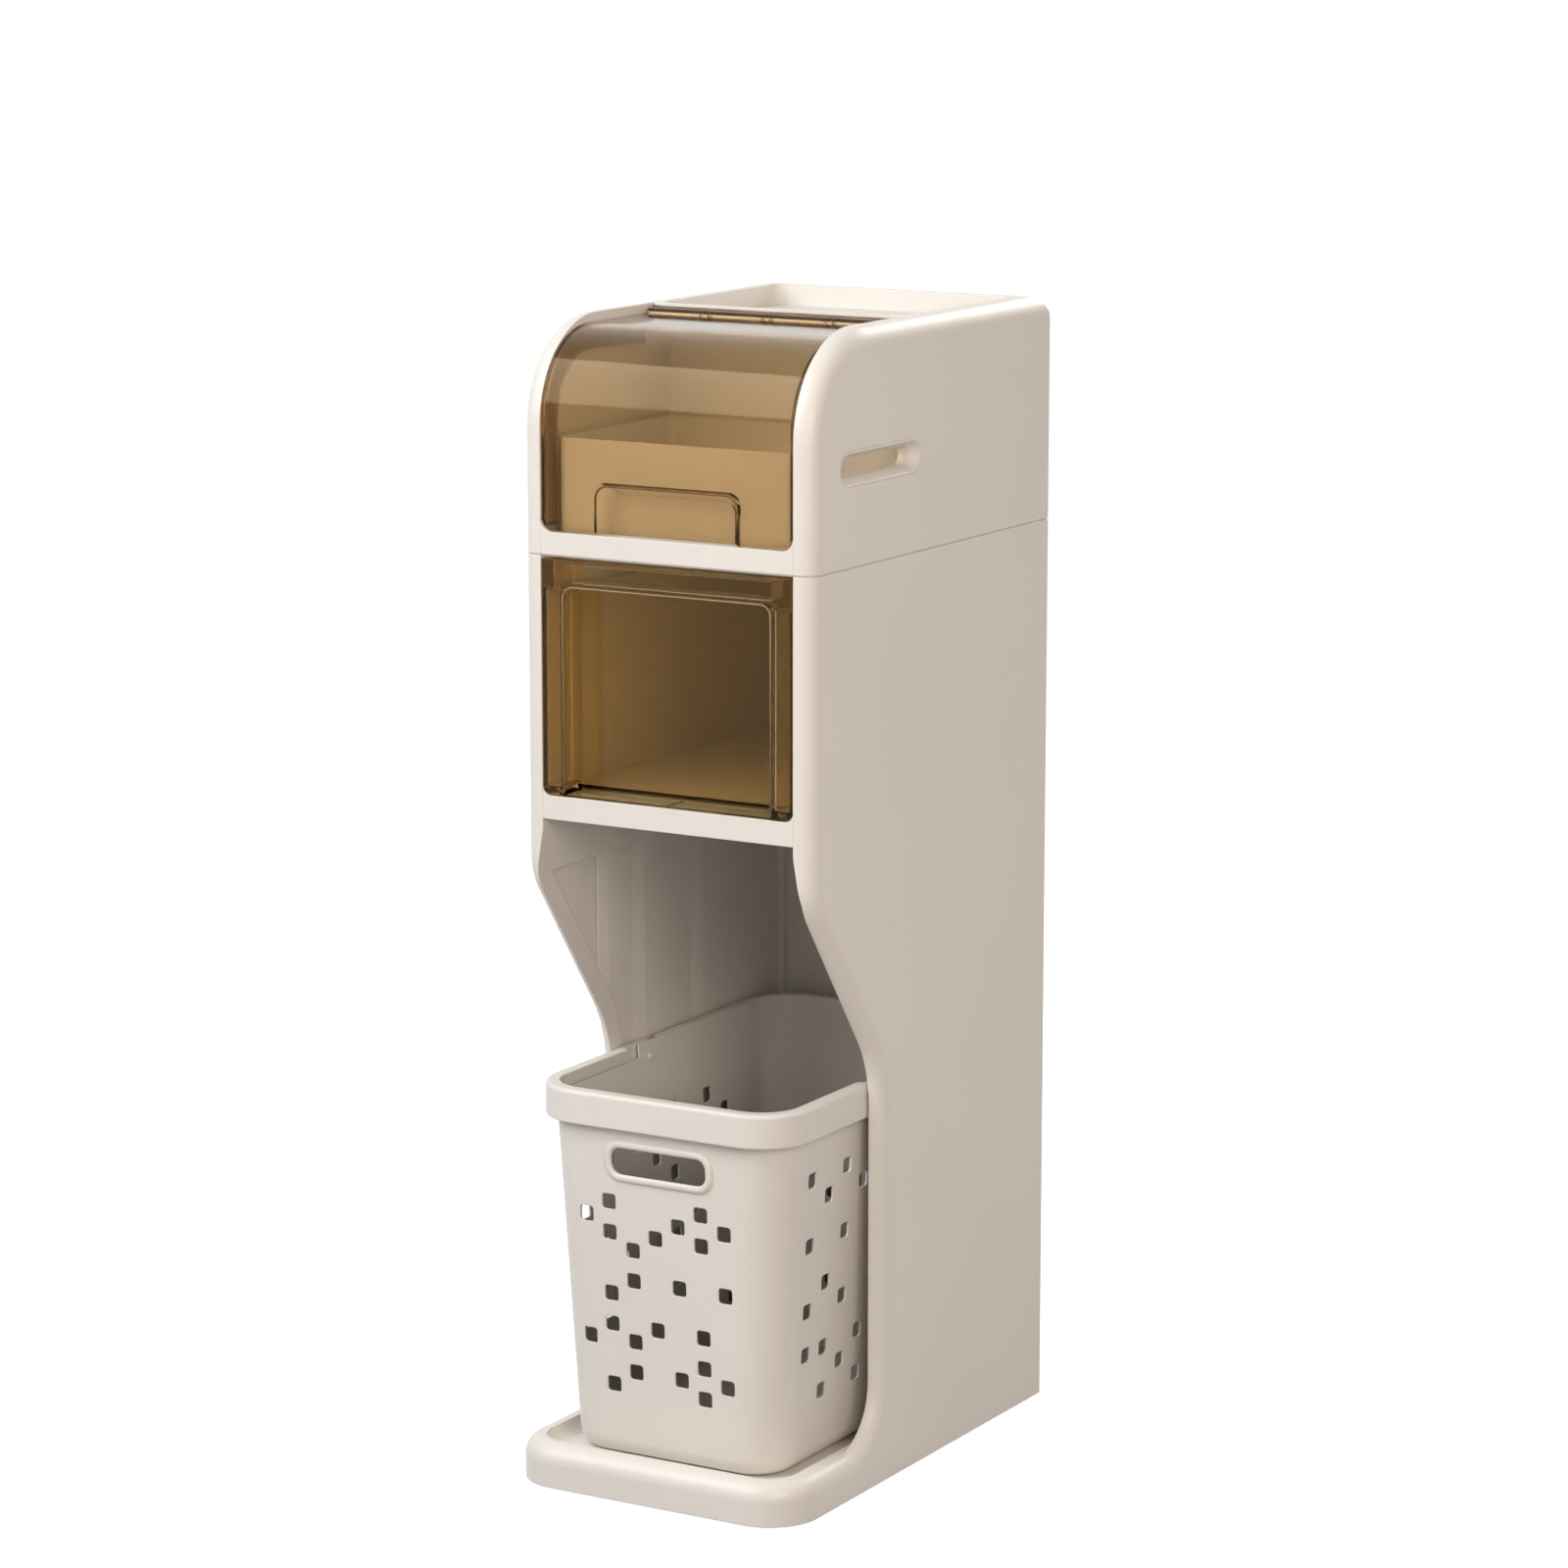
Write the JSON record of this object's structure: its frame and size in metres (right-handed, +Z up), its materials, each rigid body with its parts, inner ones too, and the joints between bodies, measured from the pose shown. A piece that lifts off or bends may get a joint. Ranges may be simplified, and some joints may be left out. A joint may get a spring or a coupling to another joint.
{
  "type": "bathroom storage organizer",
  "caption": "Slim two-module bathroom organizer with a curved clear flip lid, a clear drawer, a top tray and a perforated laundry basket on a round-fronted base.",
  "frame": {"origin": "middle of the footprint on the floor", "axes": "+X to the right seen from the front, +Y to the back, +Z up"},
  "size_m": [0.25, 0.398, 0.882],
  "materials": {
    "white_shell": "fine satin moulded",
    "basket_white": "satin moulded",
    "amber_clear": "smoked clear plastic, polished",
    "steel_pin": "drawn rod",
    "rubber_foot": "matte"
  },
  "bodies": {
    "frame": {"base_tray": "white_shell", "lower_left_side": "white_shell", "lower_right_side": "white_shell", "bay_left_liner": "white_shell", "bay_right_liner": "white_shell", "drawer_left_liner": "white_shell", "drawer_right_liner": "white_shell", "lower_back_panel": "white_shell", "mid_shelf": "white_shell", "upper_deck": "white_shell", "upper_left_side": "white_shell", "upper_right_side": "white_shell", "upper_left_liner": "white_shell", "upper_right_liner": "white_shell", "upper_back_panel": "white_shell", "top_tray": "white_shell", "compartment_back": "white_shell", "paper_slot_bezel": "white_shell", "module_pegs": "white_shell", "foot_pads": "rubber_foot", "lid_hinge_strip": "amber_clear", "lid_hinge_pin": "steel_pin"},
    "lid": {"flip_lid": "amber_clear"},
    "drawer": {"drawer_front": "amber_clear", "drawer_box": "amber_clear"},
    "bin": {"paper_bin": "white_shell"},
    "basket": {"basket": "basket_white", "handle_pins": "basket_white"},
    "handle": {"basket_handle": "basket_white"}
  },
  "joints": [
    {"name": "lid_flip", "type": "hinge", "parent": "frame", "child": "lid", "pos_m": [0, -0.0145, 0.873], "axis": [-1, 0, 0], "range_deg": [0, 100]},
    {"name": "drawer_slide", "type": "slide", "parent": "frame", "child": "drawer", "axis": [0, -1, 0], "range_m": [0, 0.28]},
    {"name": "bin_lift", "type": "slide", "parent": "frame", "child": "bin", "axis": [0, 0, 1], "range_m": [0, 0.04]},
    {"name": "basket_slide", "type": "slide", "parent": "frame", "child": "basket", "axis": [0, -0.9272, 0.3746], "range_m": [0, 0.475]},
    {"name": "handle_swing", "type": "hinge", "parent": "basket", "child": "handle", "pos_m": [0, -0.025, 0.298], "axis": [-1, 0, 0], "range_deg": [0, 90]}
  ]
}
